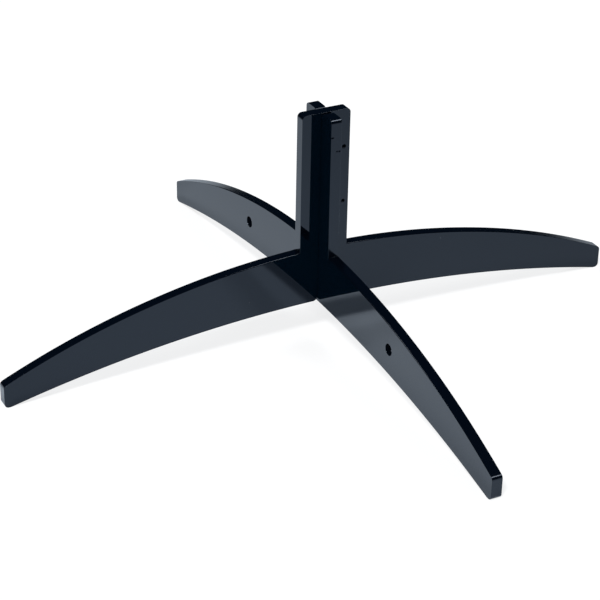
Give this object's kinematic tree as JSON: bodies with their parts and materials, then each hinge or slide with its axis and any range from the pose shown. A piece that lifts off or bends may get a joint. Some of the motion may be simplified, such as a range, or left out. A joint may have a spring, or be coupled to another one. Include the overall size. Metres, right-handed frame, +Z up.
{
  "type": "flute stand",
  "caption": "Knock-down flute stand: gloss black arched plates slot into a cross, and their stems form the post that goes up into the flute's bore.",
  "frame": {"origin": "on the ground under the crossing of the two plates", "axes": "+X along the upper plate, +Y along the lower plate, +Z up along the post"},
  "size_m": [0.2304, 0.2304, 0.0826],
  "materials": {
    "lower_plate": "polished gloss black acrylic",
    "upper_plate": "polished gloss black acrylic"
  },
  "bodies": {
    "lower_plate": {"lower_plate": "lower_plate"},
    "upper_plate": {"upper_plate": "upper_plate"}
  },
  "joints": [
    {"name": "upper_plate_lift", "type": "slide", "parent": "lower_plate", "child": "upper_plate", "axis": [0, 0, 1], "range_m": [0, 0.075]}
  ]
}
